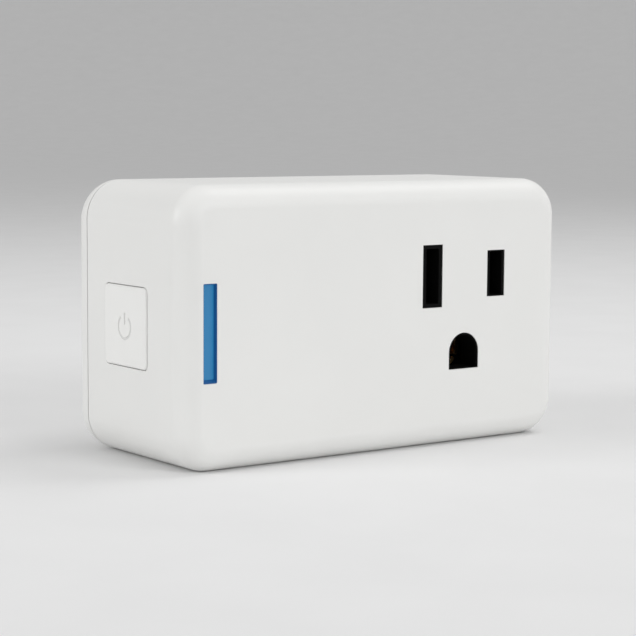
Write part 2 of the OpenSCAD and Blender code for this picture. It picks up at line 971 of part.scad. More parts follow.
front_housing();
rear_cover();
light_pipe();
button_cap();
contact_carrier();
carrier_lid();
neutral_contact();
hot_contact();
ground_contact();
ground_strap();
neutral_blade();
hot_blade();
ground_pin();
prong_retainer();
main_board();
board_screws();
control_board();
board_header();
header_pins();
status_leds();
switch_body();
switch_dome();
switch_plunger();
wifi_board();
wifi_shield();
wifi_antenna();
relay_base();
relay_case();
relay_bobbin();
relay_winding();
relay_core();
relay_yoke();
relay_armature();
contact_spring();
fixed_contact();
transformer_core();
transformer_bobbin();
transformer_winding();
bulk_capacitors();
output_capacitor();
varistor();
fuse();
bridge_rectifier();
converter_chip();
smd_parts();
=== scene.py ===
"""Looks of the plug-in smart switch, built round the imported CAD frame. Lengths are in metres."""

import json
import math

import bmesh
import bpy
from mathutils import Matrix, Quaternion, Vector


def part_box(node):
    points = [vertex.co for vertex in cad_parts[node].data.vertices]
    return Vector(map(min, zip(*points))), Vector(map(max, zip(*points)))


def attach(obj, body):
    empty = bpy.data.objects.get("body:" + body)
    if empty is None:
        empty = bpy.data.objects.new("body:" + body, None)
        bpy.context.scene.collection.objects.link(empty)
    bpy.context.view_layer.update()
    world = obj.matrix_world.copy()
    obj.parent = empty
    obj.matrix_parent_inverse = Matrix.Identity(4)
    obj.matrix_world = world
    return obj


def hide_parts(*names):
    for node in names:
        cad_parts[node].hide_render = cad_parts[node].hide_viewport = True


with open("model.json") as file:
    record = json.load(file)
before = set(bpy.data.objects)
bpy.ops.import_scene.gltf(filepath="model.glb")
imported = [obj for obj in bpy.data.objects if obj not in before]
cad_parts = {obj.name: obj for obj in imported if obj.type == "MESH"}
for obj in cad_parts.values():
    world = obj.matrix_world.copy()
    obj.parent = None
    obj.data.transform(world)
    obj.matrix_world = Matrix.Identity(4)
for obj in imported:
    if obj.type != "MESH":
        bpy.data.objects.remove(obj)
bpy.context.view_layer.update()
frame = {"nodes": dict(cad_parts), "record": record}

MM = 0.001


# ---------------------------------------------------------------- places, from the frame

def low(node):
    return Vector(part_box(node)[0])


def high(node):
    return Vector(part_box(node)[1])


def mid(node):
    """Middle of a CAD node's box."""
    return (low(node) + high(node)) / 2


def size(node):
    return high(node) - low(node)


FRONT_Y = low("front_housing").y
SEAM_Y = high("front_housing").y
WALL_Y = high("rear_cover").y
WIDTH = size("front_housing").x
HEIGHT = size("front_housing").z
LEFT_X = low("front_housing").x
NEUTRAL = mid("neutral_blade")
HOT = mid("hot_blade")
GROUND = mid("ground_pin")
BUTTON = mid("button_cap")
BAR = mid("light_pipe")
BOARD_Y = high("main_board").y
BOARD_FRONT = low("main_board").y

# housing
OUTLINE_R = 5.8 * MM
FRONT_R = 3.5 * MM
REAR_R = 6.5 * MM
WALL = 2.0 * MM
FRONT_IN = FRONT_Y + WALL
EDGE_R = 0.06 * MM                   # bevel of the front shell and its button window
SHARP_R = 0.04 * MM                  # bevel of the socket, light and blade holes
MERGE_DIST = 0.001 * MM              # points closer than this become one
SLIVER = 0.0005 * MM                 # edges shorter than this are taken out
# socket holes
NEUTRAL_SLOT_W = 3.85 * MM
HOT_SLOT_W = 3.55 * MM
NEUTRAL_SLOT_H = 9.6 * MM
HOT_SLOT_H = 7.2 * MM
ARCH_R = 2.95 * MM
ARCH_DROP = 2.65 * MM
# light bar
BAR_X = LEFT_X + 4.7 * MM
BAR_W = 2.3 * MM
BAR_H = 14.1 * MM
BAR_RECESS = 0.7 * MM
# button
BUTTON_S = 11.8 * MM
BUTTON_R = 0.9 * MM
BUTTON_GAP = 0.1 * MM


# ---------------------------------------------------------------- materials

def new_material(name):
    """A node material with its Principled shader and an object-space coordinate."""
    mat = bpy.data.materials.new(name)
    mat.use_nodes = True
    tree = mat.node_tree
    shader = tree.nodes["Principled BSDF"]
    coord = tree.nodes.new("ShaderNodeTexCoord")
    return mat, tree, shader, coord.outputs["Object"]


def noise(tree, vector, per_mm, detail=3.0, roughness=0.5):
    """A noise texture whose features repeat per_mm times a millimetre."""
    node = tree.nodes.new("ShaderNodeTexNoise")
    node.inputs["Scale"].default_value = per_mm / MM
    node.inputs["Detail"].default_value = detail
    node.inputs["Roughness"].default_value = roughness
    tree.links.new(vector, node.inputs["Vector"])
    return node.outputs["Fac"]


def ramp(tree, factor, dark, light):
    """A colour ramp from dark to light over the middle of factor."""
    node = tree.nodes.new("ShaderNodeValToRGB")
    node.color_ramp.elements[0].position = 0.3
    node.color_ramp.elements[1].position = 0.7
    node.color_ramp.elements[0].color = (*dark, 1)
    node.color_ramp.elements[1].color = (*light, 1)
    tree.links.new(factor, node.inputs["Fac"])
    return node.outputs["Color"]


def map_range(tree, factor, least, most):
    """factor from 0..1 to least..most."""
    node = tree.nodes.new("ShaderNodeMapRange")
    node.inputs["To Min"].default_value = least
    node.inputs["To Max"].default_value = most
    tree.links.new(factor, node.inputs["Value"])
    return node.outputs["Result"]


def bump(tree, shader, height, depth):
    """Bump of that depth in metres on the shader's normal."""
    node = tree.nodes.new("ShaderNodeBump")
    node.inputs["Distance"].default_value = depth
    tree.links.new(height, node.inputs["Height"])
    tree.links.new(node.outputs["Normal"], shader.inputs["Normal"])


def tint(colour, factor):
    """colour made lighter or darker."""
    return tuple(min(1.0, c * factor) for c in colour)


def plastic(name, colour, rough=0.4, grain_per_mm=3.0, grain=0.004, mottle=0.03, specular=0.5):
    """Moulded plastic: a faint mottle in colour and gloss, and a fine moulded grain."""
    mat, tree, shader, place = new_material(name)
    cloud = noise(tree, place, 0.06, 2.0)
    fine = noise(tree, place, grain_per_mm, 4.0, 0.6)
    colours = ramp(tree, cloud, tint(colour, 1 - mottle), tint(colour, 1 + mottle))
    tree.links.new(colours, shader.inputs["Base Color"])
    tree.links.new(map_range(tree, fine, rough - 0.04, rough + 0.04), shader.inputs["Roughness"])
    shader.inputs["Specular IOR Level"].default_value = specular
    bump(tree, shader, fine, grain * MM)
    return mat


def metal(name, colour, rough=0.25, grain_per_mm=2.0, stretch=(1, 1, 1), grain=0.002):
    """Metal with a drawn or rolled grain along the axis that stretch makes long."""
    mat, tree, shader, place = new_material(name)
    mapping = tree.nodes.new("ShaderNodeMapping")
    mapping.inputs["Scale"].default_value = stretch
    tree.links.new(place, mapping.inputs["Vector"])
    grain_noise = noise(tree, mapping.outputs["Vector"], grain_per_mm, 5.0, 0.65)
    stain = noise(tree, place, 0.25, 2.0)
    colours = ramp(tree, stain, tint(colour, 0.94), tint(colour, 1.04))
    tree.links.new(colours, shader.inputs["Base Color"])
    tree.links.new(map_range(tree, grain_noise, rough - 0.07, rough + 0.09),
                   shader.inputs["Roughness"])
    shader.inputs["Metallic"].default_value = 1.0
    bump(tree, shader, grain_noise, grain * MM)
    return mat


def lit_plastic(name, colour, glow, strength, grain=0.002):
    """Translucent plastic lit from behind, a little brighter in soft patches."""
    mat, tree, shader, place = new_material(name)
    cloud = noise(tree, place, 0.18, 2.0)
    colours = ramp(tree, cloud, tint(colour, 0.93), tint(colour, 1.07))
    glows = ramp(tree, cloud, tint(glow, 0.95), tint(glow, 1.05))
    fine = noise(tree, place, 5.0, 3.0)
    tree.links.new(colours, shader.inputs["Base Color"])
    tree.links.new(glows, shader.inputs["Emission Color"])
    tree.links.new(map_range(tree, fine, 0.34, 0.42), shader.inputs["Roughness"])
    shader.inputs["Emission Strength"].default_value = strength
    bump(tree, shader, fine, grain * MM)
    return mat


def circuit_board(name, mask, track):
    """Solder mask with faint copper tracks under it, on a board that stands along Z."""
    mat, tree, shader, place = new_material(name)
    cell, groove = 3.2 * MM, 0.01 * MM
    cells = tree.nodes.new("ShaderNodeTexBrick")
    cells.inputs["Scale"].default_value = 1 / cell
    cells.inputs["Mortar Size"].default_value = 0.035
    cells.inputs["Color1"].default_value = (0, 0, 0, 1)
    cells.inputs["Color2"].default_value = (0.1, 0.1, 0.1, 1)
    cells.inputs["Mortar"].default_value = (1, 1, 1, 1)
    apart = tree.nodes.new("ShaderNodeSeparateXYZ")
    across = tree.nodes.new("ShaderNodeMath")
    flat = tree.nodes.new("ShaderNodeCombineXYZ")
    tree.links.new(place, apart.inputs["Vector"])
    tree.links.new(apart.outputs["X"], across.inputs[0])
    tree.links.new(apart.outputs["Y"], across.inputs[1])
    tree.links.new(across.outputs["Value"], flat.inputs["X"])
    tree.links.new(apart.outputs["Z"], flat.inputs["Y"])
    tree.links.new(flat.outputs["Vector"], cells.inputs["Vector"])
    tree.links.new(ramp(tree, cells.outputs["Color"], mask, track), shader.inputs["Base Color"])
    fine = noise(tree, place, 2.5, 3.0)
    tree.links.new(map_range(tree, fine, 0.28, 0.4), shader.inputs["Roughness"])
    bump(tree, shader, cells.outputs["Color"], groove)
    return mat


WHITE = (0.80, 0.80, 0.785)
MATERIALS = {
    "white_plastic": plastic("white_plastic", WHITE, 0.45, mottle=0.008),
    "button_plastic": plastic("button_plastic", tint(WHITE, 1.05), 0.4, mottle=0.008),
    "sign_grey": plastic("sign_grey", tint(WHITE, 0.88), 0.5, mottle=0.01),
    "light_blue": lit_plastic("light_blue", (0.015, 0.09, 0.19), (0.008, 0.115, 0.25), 1.0),
    # painted shade: a darker, dimmer blue for the recess walls round the light bar
    "rim_blue_painted_shade": lit_plastic("rim_blue_painted_shade", (0.006, 0.05, 0.15), (0.003, 0.04, 0.12), 1.0),
    "dark_plastic": plastic("dark_plastic", (0.003, 0.003, 0.003), 0.7, mottle=0.1,
                            specular=0.06),
    "brass_contact": metal("brass_contact", (0.56, 0.39, 0.18), 0.3, stretch=(1, 0.1, 1)),
    "nickel_brass": metal("nickel_brass", (0.72, 0.71, 0.68), 0.24, stretch=(1, 0.08, 1)),
    "retainer_plastic": plastic("retainer_plastic", (0.75, 0.74, 0.70), 0.5),
    "board_green": circuit_board("board_green", (0.01, 0.10, 0.04), (0.03, 0.20, 0.08)),
    "board_black": circuit_board("board_black", (0.01, 0.015, 0.03), (0.03, 0.04, 0.07)),
    "zinc_steel": metal("zinc_steel", (0.62, 0.63, 0.64), 0.3),
    "gold_pins": metal("gold_pins", (0.85, 0.63, 0.25), 0.2),
    "led_white": plastic("led_white", (0.85, 0.84, 0.76), 0.3),
    "switch_plastic": plastic("switch_plastic", (0.80, 0.79, 0.74), 0.4),
    "tin_shield": metal("tin_shield", (0.70, 0.71, 0.72), 0.33, stretch=(1, 1, 0.1)),
    "relay_blue": plastic("relay_blue", (0.03, 0.16, 0.50), 0.35),
    "ivory_plastic": plastic("ivory_plastic", (0.80, 0.76, 0.62), 0.45),
    "copper_wire": metal("copper_wire", (0.62, 0.26, 0.12), 0.3, 6.0, (0.1, 1, 0.1), 0.01),
    "spring_copper": metal("spring_copper", (0.80, 0.45, 0.25), 0.28),
    "ferrite": plastic("ferrite", (0.04, 0.04, 0.043), 0.6, 6.0, 0.01, 0.1),
    "yellow_tape": plastic("yellow_tape", (0.85, 0.62, 0.10), 0.3),
    "capacitor_sleeve": plastic("capacitor_sleeve", (0.03, 0.05, 0.09), 0.3),
    "varistor_coat": plastic("varistor_coat", (0.04, 0.15, 0.42), 0.35, 1.5, 0.02),
    "fuse_ceramic": plastic("fuse_ceramic", (0.78, 0.76, 0.70), 0.35),
    "chip_black": plastic("chip_black", (0.02, 0.02, 0.02), 0.55, 8.0, 0.006),
    "smd_tan": plastic("smd_tan", (0.45, 0.33, 0.20), 0.5),
}


# ---------------------------------------------------------------- mesh helpers

def object_from_bmesh(bm, name):
    bmesh.ops.recalc_face_normals(bm, faces=bm.faces)
    mesh = bpy.data.meshes.new(name)
    bm.to_mesh(mesh)
    bm.free()
    obj = bpy.data.objects.new(name, mesh)
    bpy.context.scene.collection.objects.link(obj)
    return obj


def dress(obj, material, body="case", replaces=()):
    """Gives a finished piece its material and body, and hides the CAD nodes it stands for."""
    obj.data.materials.clear()
    obj.data.materials.append(MATERIALS[material])
    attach(obj, body)
    if replaces:
        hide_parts(*replaces)
    return obj


def apply_modifiers(obj):
    """Replaces the object's mesh by its evaluated one."""
    bpy.context.view_layer.update()
    graph = bpy.context.evaluated_depsgraph_get()
    mesh = bpy.data.meshes.new_from_object(obj.evaluated_get(graph), depsgraph=graph)
    obj.modifiers.clear()
    obj.data = mesh


def combine(obj, others, operation):
    """Boolean DIFFERENCE or UNION with each other object, which is then removed."""
    for other in others:
        modifier = obj.modifiers.new("combine", "BOOLEAN")
        modifier.operation = operation
        modifier.solver = "EXACT"
        modifier.object = other
        apply_modifiers(obj)
        bpy.data.objects.remove(other)


def add_edge_modifiers(obj, width, segments, angle):
    bevel = obj.modifiers.new("edge", "BEVEL")
    bevel.width = width
    bevel.segments = segments
    bevel.limit_method = "ANGLE"
    bevel.angle_limit = math.radians(angle)
    bevel.miter_outer = "MITER_ARC"
    bevel.use_clamp_overlap = True
    normals = obj.modifiers.new("normals", "WEIGHTED_NORMAL")
    normals.mode = "FACE_AREA"
    normals.weight = 100


def finish_edges(obj, width, segments=3, angle=40):
    """Rounds the sharp edges a little and shades the rest smooth."""
    bm = bmesh.new()
    bm.from_mesh(obj.data)
    bmesh.ops.remove_doubles(bm, verts=bm.verts, dist=MERGE_DIST)
    bmesh.ops.dissolve_degenerate(bm, edges=bm.edges, dist=SLIVER)
    bm.to_mesh(obj.data)
    bm.free()
    obj.data.polygons.foreach_set("use_smooth", [True] * len(obj.data.polygons))
    add_edge_modifiers(obj, width, segments, angle)
    apply_modifiers(obj)


def ring(width, height, radius, y, corner_steps):
    """Points of a rounded rectangle in the XZ plane at depth y, about the origin."""
    points = []
    for quarter in range(4):
        sx = 1 if quarter in (0, 3) else -1
        sz = 1 if quarter in (0, 1) else -1
        for step in range(corner_steps + 1):
            angle = math.pi / 2 * (quarter + step / corner_steps)
            points.append(Vector((sx * (width / 2 - radius) + radius * math.cos(angle), y,
                                  sz * (height / 2 - radius) + radius * math.sin(angle))))
    return points


def loft(bm, rings, closed=True):
    """Joins rings of equal length into a tube. It is closed at both ends, or end to start."""
    rows = [[bm.verts.new(p) for p in points] for points in rings]
    pairs = list(zip(rows, rows[1:]))
    if not closed:
        pairs.append((rows[-1], rows[0]))
    for a, b in pairs:
        for i in range(len(a)):
            j = (i + 1) % len(a)
            bm.faces.new((a[i], a[j], b[j], b[i]))
    if closed:
        bm.faces.new(list(reversed(rows[0])))
        bm.faces.new(rows[-1])


def placed(axis, along, u, v):
    """A point whose coordinate on the axis is along, and u, v on the other two in order."""
    if axis == "x":
        return Vector((along, u, v))
    if axis == "y":
        return Vector((u, along, v))
    return Vector((u, v, along))


def prism(name, outline, axis, start, end):
    """A closed outline of (u, v) points swept along an axis."""
    bm = bmesh.new()
    loft(bm, [[placed(axis, depth, u, v) for u, v in outline] for depth in (start, end)])
    return object_from_bmesh(bm, name)


def rectangle(u, v, width, height, radius=0.0, steps=5):
    """Outline of a rectangle, with round corners if it has a radius."""
    if radius == 0:
        return [(u + su * width / 2, v + sv * height / 2)
                for su, sv in ((1, 1), (-1, 1), (-1, -1), (1, -1))]
    return [(u + p.x, v + p.z) for p in ring(width, height, radius, 0, steps)]


def circle(u, v, radius, steps=48):
    return [(u + radius * math.cos(math.tau * i / steps),
             v + radius * math.sin(math.tau * i / steps)) for i in range(steps)]


def arch(u, v, radius, drop, steps=32):
    """Outline of the ground hole: a half circle over a flat bottom."""
    points = [(u + radius * math.cos(math.pi * i / steps),
               v + radius * math.sin(math.pi * i / steps)) for i in range(steps + 1)]
    return points + [(u - radius, v - drop), (u + radius, v - drop)]


def lathe(bm, profile, axis, centre, steps=48):
    """Turns a profile of (radius, along) points about an axis. A radius of 0 is a pole."""
    u0, v0 = centre
    rows = []
    for radius, along in profile:
        if radius == 0:
            rows.append([bm.verts.new(placed(axis, along, u0, v0))])
        else:
            rows.append([bm.verts.new(placed(axis, along, u, v))
                         for u, v in circle(u0, v0, radius, steps)])
    for a, b in zip(rows, rows[1:]):
        for i in range(steps):
            j = (i + 1) % steps
            if len(a) == 1:
                bm.faces.new((a[0], b[i], b[j]))
            elif len(b) == 1:
                bm.faces.new((a[i], a[j], b[0]))
            else:
                bm.faces.new((a[i], a[j], b[j], b[i]))


def box(bm, centre, dims):
    """A closed box, for parts of a piece that is bevelled afterwards."""
    u, v = dims[0] / 2, dims[2] / 2
    rings = []
    for sy in (-1, 1):
        y = centre[1] + sy * dims[1] / 2
        rings.append([Vector((centre[0] + sx * u, y, centre[2] + sz * v))
                      for sx, sz in ((1, 1), (-1, 1), (-1, -1), (1, -1))])
    loft(bm, rings)


def smooth_lathe(obj, angle=40):
    """Smooth shading that keeps the profile's own corners sharp."""
    obj.data.polygons.foreach_set("use_smooth", [True] * len(obj.data.polygons))
    obj.data.set_sharp_from_angle(angle=math.radians(angle))


# ---------------------------------------------------------------- housing

CORNER_STEPS = 24
FILLET_STEPS = 16
OUT = 1.0 * MM                       # how far a cutter runs past a face


def inset_ring(inset, y):
    return ring(WIDTH - 2 * inset, HEIGHT - 2 * inset, OUTLINE_R - inset, y, CORNER_STEPS)


def front_rings():
    """Rings of the outer skin round the front fillet."""
    rings = []
    for step in range(FILLET_STEPS + 1):
        angle = math.pi / 2 * step / FILLET_STEPS
        rings.append(inset_ring(FRONT_R * (1 - math.sin(angle)),
                                FRONT_Y + FRONT_R * (1 - math.cos(angle))))
    return rings


def rear_rings():
    """Rings of the outer skin from the seam back to the wall plane."""
    flat_corner = 2.2 * MM
    rings = []
    for step in range(FILLET_STEPS + 1):
        angle = math.pi / 2 * step / FILLET_STEPS
        inset = REAR_R * (1 - math.cos(angle))
        y = WALL_Y - REAR_R + REAR_R * math.sin(angle)
        radius = OUTLINE_R - (OUTLINE_R - flat_corner) * inset / REAR_R
        rings.append(ring(WIDTH - 2 * inset, HEIGHT - 2 * inset, radius, y, CORNER_STEPS))
    return rings


def carrier_ribs():
    """Four L-shaped ribs round the corners of the socket block."""
    gap, thick, length, depth = 0.25 * MM, 1.2 * MM, 4.0 * MM, 8.0 * MM
    block, place = size("contact_carrier"), mid("contact_carrier")
    outline = [(0, -length), (thick, -length), (thick, thick), (-length, thick), (-length, 0),
               (0, 0)]
    ribs = []
    for sx in (-1, 1):
        for sz in (-1, 1):
            u0 = place.x + sx * (block.x / 2 + gap)
            v0 = place.z + sz * (block.z / 2 + gap)
            ribs.append(prism("rib", [(u0 + sx * u, v0 + sz * v) for u, v in outline], "y",
                              FRONT_IN - BUTTON_GAP, FRONT_IN + depth))
    return ribs


def board_rails():
    """Rails on the top and bottom walls for the upright control board."""
    gap, thick, tall, depth = 0.2 * MM, 0.8 * MM, 3.4 * MM, 18.0 * MM
    rails = []
    for sz in (-1, 1):
        for x in (low("control_board").x - gap - thick / 2,
                  high("control_board").x + gap + thick / 2):
            v = sz * (HEIGHT / 2 - WALL - tall / 2 + BUTTON_GAP / 2)
            rails.append(prism("rail", rectangle(x, v, thick, tall + BUTTON_GAP), "y",
                               FRONT_IN - BUTTON_GAP, FRONT_IN + depth))
    return rails


def make_front_shell():
    """Face, sides, ribs and rails, with the button window and the socket and light holes."""
    bar_corner = 0.15 * MM
    rings = front_rings()
    rings += [inset_ring(0, SEAM_Y), inset_ring(WALL, SEAM_Y), inset_ring(WALL, FRONT_IN)]
    bm = bmesh.new()
    loft(bm, rings)
    shell = object_from_bmesh(bm, "front_shell")
    combine(shell, carrier_ribs() + board_rails(), "UNION")
    window = BUTTON_S + 2 * BUTTON_GAP
    combine(shell, [prism("cut", rectangle(BUTTON.y, BUTTON.z, window, window,
                                           BUTTON_R + BUTTON_GAP), "x",
                          LEFT_X - OUT, LEFT_X + WALL + OUT)], "DIFFERENCE")
    finish_edges(shell, EDGE_R)
    y0, y1 = FRONT_Y - OUT, FRONT_IN + OUT
    cutters = [
        prism("cut", rectangle(NEUTRAL.x, NEUTRAL.z, NEUTRAL_SLOT_W, NEUTRAL_SLOT_H), "y", y0, y1),
        prism("cut", rectangle(HOT.x, HOT.z, HOT_SLOT_W, HOT_SLOT_H), "y", y0, y1),
        prism("cut", arch(GROUND.x, GROUND.z, ARCH_R, ARCH_DROP), "y", y0, y1),
        prism("cut", rectangle(BAR_X, BAR.z, BAR_W, BAR_H, bar_corner), "y", y0, y1),
    ]
    combine(shell, cutters, "DIFFERENCE")
    finish_edges(shell, SHARP_R, 2)
    dress(shell, "white_plastic", replaces=["front_housing"])


def make_rear_shell():
    """Rounded cover with a lip inside the seam, four screw posts and the prongs' openings."""
    lip_out, lip_in, hollow = 2.05 * MM, 3.35 * MM, 4.0 * MM
    floor_t, bore_depth, edge_r = 2.4 * MM, 5 * MM, 0.15 * MM
    neutral_h, hot_h, pin_hole_r, clearance = 7.9 * MM, 6.35 * MM, 2.43 * MM, 0.1 * MM
    floor = WALL_Y - floor_t
    seam = WALL_Y - REAR_R
    lip_y = low("rear_cover").y
    rings = [inset_ring(hollow, floor), inset_ring(hollow, seam), inset_ring(lip_in, seam),
             inset_ring(lip_in, lip_y), inset_ring(lip_out, lip_y), inset_ring(lip_out, seam)]
    rings += rear_rings()
    bm = bmesh.new()
    loft(bm, rings)
    shell = object_from_bmesh(bm, "rear_shell")
    post_r, bore_r, screw_head_r, overlap = 2.4 * MM, 1.15 * MM, 2.1 * MM, 0.1 * MM
    post_x = high("board_screws").x - screw_head_r
    post_z = high("board_screws").z - screw_head_r
    spots = [(sx * post_x, sz * post_z) for sx in (-1, 1) for sz in (-1, 1)]
    combine(shell, [prism("post", circle(u, v, post_r), "y", BOARD_Y, floor + overlap)
                    for u, v in spots], "UNION")
    cutters = [prism("bore", circle(u, v, bore_r, 32), "y", BOARD_Y - OUT, BOARD_Y + bore_depth)
               for u, v in spots]
    for node, place, tall in (("neutral_blade", NEUTRAL, neutral_h), ("hot_blade", HOT, hot_h)):
        cutters.append(prism("cut", rectangle(place.x, place.z, size(node).x + clearance,
                                              tall + clearance), "y", floor - OUT, WALL_Y + OUT))
    cutters.append(prism("cut", circle(GROUND.x, GROUND.z, pin_hole_r), "y", floor - OUT,
                         WALL_Y + OUT))
    combine(shell, cutters, "DIFFERENCE")
    finish_edges(shell, edge_r)
    dress(shell, "white_plastic", replaces=["rear_cover"])


make_front_shell()
make_rear_shell()


# ---------------------------------------------------------------- push button

SIGN_R = 1.7 * MM
SIGN_LINE = 0.36 * MM
SIGN_DEPTH = 0.14 * MM
SIGN_DROP = 0.1 * MM                 # how far the sign sits below the button's middle


def sign_outlines(spare):
    """A generic power sign, as (y, z) outlines: an open ring and a stroke, wider by spare."""
    half_gap, steps = math.radians(38), 40
    outer, inner = SIGN_R + SIGN_LINE / 2 + spare, SIGN_R - SIGN_LINE / 2 - spare
    y0, z0 = BUTTON.y, BUTTON.z - SIGN_DROP
    sweep = math.tau - 2 * half_gap
    turns = [math.pi / 2 + half_gap + sweep * i / steps for i in range(steps + 1)]
    arc = [(y0 + outer * math.cos(a), z0 + outer * math.sin(a)) for a in turns]
    arc += [(y0 + inner * math.cos(a), z0 + inner * math.sin(a)) for a in reversed(turns)]
    stroke = rectangle(y0, z0 + SIGN_R * 0.72, SIGN_LINE + 2 * spare, SIGN_R + 2 * spare,
                       SIGN_LINE / 2)
    return [arc, stroke]


def make_button():
    """A slightly crowned key with a flange and stem, and its sunk power sign in grey."""
    face_x = low("button_cap").x
    flange_play, flange_t, flange = 0.05 * MM, 1.0 * MM, 0.8 * MM
    flange_x = LEFT_X + WALL + flange_play
    flange_end = flange_x + flange_t
    edge_r, edge_steps, crown, least_r = 0.35 * MM, 6, 0.05 * MM, 0.3 * MM
    key_edge, sign_edge, sign_floor = 0.05 * MM, 0.02 * MM, 0.45
    rings = []

    def square(inset, x, grow=0.0):
        side = BUTTON_S - 2 * inset + 2 * grow
        return [Vector((x, BUTTON.y + p.x, BUTTON.z + p.z))
                for p in ring(side, side, max(BUTTON_R - inset, least_r) + grow, 0, 8)]

    for inset, drop in ((2.5 * MM, 0.0), (1.2 * MM, 0.35), (0.6 * MM, 0.7)):
        rings.append(square(inset, face_x + crown * drop))
    for step in range(edge_steps + 1):
        angle = math.pi / 2 * step / edge_steps
        rings.append(square(edge_r * (1 - math.sin(angle)),
                            face_x + crown + edge_r * (1 - math.cos(angle))))
    rings += [square(0, flange_x), square(0, flange_x, flange), square(0, flange_end, flange)]
    bm = bmesh.new()
    loft(bm, rings)
    key = object_from_bmesh(bm, "button_key")
    stem_end = high("button_cap").x
    stem = bmesh.new()
    stem_r, tip = 1.5 * MM, 0.3 * MM
    lathe(stem, [(0, flange_end - tip), (stem_r, flange_end - tip), (stem_r, stem_end - tip),
                 (stem_r - tip, stem_end), (0, stem_end)], "x", (BUTTON.y, BUTTON.z))
    combine(key, [object_from_bmesh(stem, "stem")], "UNION")
    combine(key, [prism("sign", outline, "x", face_x - OUT, face_x + SIGN_DEPTH)
                  for outline in sign_outlines(0.0)], "DIFFERENCE")
    finish_edges(key, key_edge, 2)
    dress(key, "button_plastic", body="button", replaces=["button_cap"])
    gap = 0.015 * MM
    arc, stroke = (prism("power_sign", outline, "x", face_x + SIGN_DEPTH * sign_floor,
                         face_x + SIGN_DEPTH - gap / 2) for outline in sign_outlines(-gap))
    combine(arc, [stroke], "UNION")
    finish_edges(arc, sign_edge, 1)
    dress(arc, "sign_grey", body="button")


# ---------------------------------------------------------------- light bar

def make_light_bar():
    """A blue window: a lit floor below the face, with a sloping rim whose darker blue is painted
    shade.
    """
    loose = 0.02 * MM
    floor_y = FRONT_Y + BAR_RECESS
    front_y = FRONT_Y + SHARP_R
    outer_w, outer_h, corner = BAR_W - 2 * loose, BAR_H - 2 * loose, 0.14 * MM
    side, top, bottom, lip = 0.14 * MM, 0.16 * MM, 0.5 * MM, 0.06 * MM
    rim_edge, block_edge = 0.02 * MM, 0.06 * MM

    def frame_ring(left, right, up, down, y):
        width, height = outer_w - left - right, outer_h - up - down
        return [Vector((BAR_X + (left - right) / 2 + p.x, y, BAR.z + (down - up) / 2 + p.z))
                for p in ring(width, height, corner * 0.9, 0, 5)]

    bm = bmesh.new()
    loft(bm, [frame_ring(0, 0, 0, 0, floor_y), frame_ring(0, 0, 0, 0, front_y),
              frame_ring(lip, lip, lip, lip, front_y),
              frame_ring(side, side, top, bottom, floor_y)], closed=False)
    rim = object_from_bmesh(bm, "light_rim")
    finish_edges(rim, rim_edge, 2)
    # the rim's darker blue is painted shade of the recess walls
    dress(rim, "rim_blue_painted_shade")

    pipe_low, pipe_high = low("light_pipe"), high("light_pipe")
    plate_y, block_y, flange_y = FRONT_IN + 0.1 * MM, FRONT_IN + 0.3 * MM, FRONT_IN + 1.1 * MM
    flange, plate_r, guide_r, guide_h, joined = 0.6 * MM, 0.4 * MM, 0.3 * MM, 12 * MM, 0.2 * MM
    block = prism("light_bar", rectangle(BAR_X, BAR.z, outer_w, outer_h, corner), "y",
                  floor_y + 0.5 * loose, block_y)
    centre_x, wide = (pipe_low.x + pipe_high.x) / 2, pipe_high.x - pipe_low.x
    plate = prism("plate", rectangle(centre_x, BAR.z, wide, pipe_high.z - pipe_low.z, plate_r),
                  "y", plate_y, flange_y)
    guide = prism("guide", rectangle(centre_x + flange / 2, BAR.z, wide - flange, guide_h,
                                     guide_r), "y", flange_y - joined, pipe_high.y)
    combine(block, [plate, guide], "UNION")
    finish_edges(block, block_edge, 2)
    dress(block, "light_blue", replaces=["light_pipe"])


make_button()
make_light_bar()


# ---------------------------------------------------------------- round parts on the board

def turned(name, profiles, axis, material, replaces=(), steps=48):
    """One piece made of several turned closed forms, each (profile, centre)."""
    bm = bmesh.new()
    for profile, centre in profiles:
        lathe(bm, profile, axis, centre, steps)
    obj = object_from_bmesh(bm, name)
    smooth_lathe(obj)
    dress(obj, material, replaces=replaces)
    return obj


SLEEVE_FOOT = (                      # inset and distance from the board, in millimetres
    (0.5, 0.1), (0.4, 0), (0.08, 0.12), (0, 0.4), (0, 1.5), (0.12, 1.75), (0.3, 2.0),
    (0.12, 2.25), (0, 2.5),
)
SLEEVE_TOP = (                       # inset and distance from the far end, in millimetres
    (0, 0.5), (0.1, 0.2), (0.3, 0.04), (0.55, 0), (0.7, 0.03), (0.75, 0.12), (0.75, 0.5),
)
DISC_RIM = (                         # as SLEEVE_TOP, for the metal top
    (0.77, 0.48), (0.77, 0.2), (0.9, 0.12),
)


def capacitor_profiles(radius, length):
    """Sleeve profile with its crimp groove, and the recessed metal top, from the board out."""
    base = BOARD_FRONT
    top = base - length

    def foot(inset, rise):
        return radius - inset * MM, base - rise * MM

    def end(inset, rise):
        return radius - inset * MM, top + rise * MM

    sleeve = [(0, foot(*SLEEVE_FOOT[0])[1])]
    sleeve += [foot(*spot) for spot in SLEEVE_FOOT] + [end(*spot) for spot in SLEEVE_TOP]
    sleeve.append((0, end(*SLEEVE_TOP[-1])[1]))
    rim = [end(*spot) for spot in DISC_RIM]
    face = rim[-1][1]
    return sleeve, [(0, rim[0][1])] + rim + [(0, face)], face


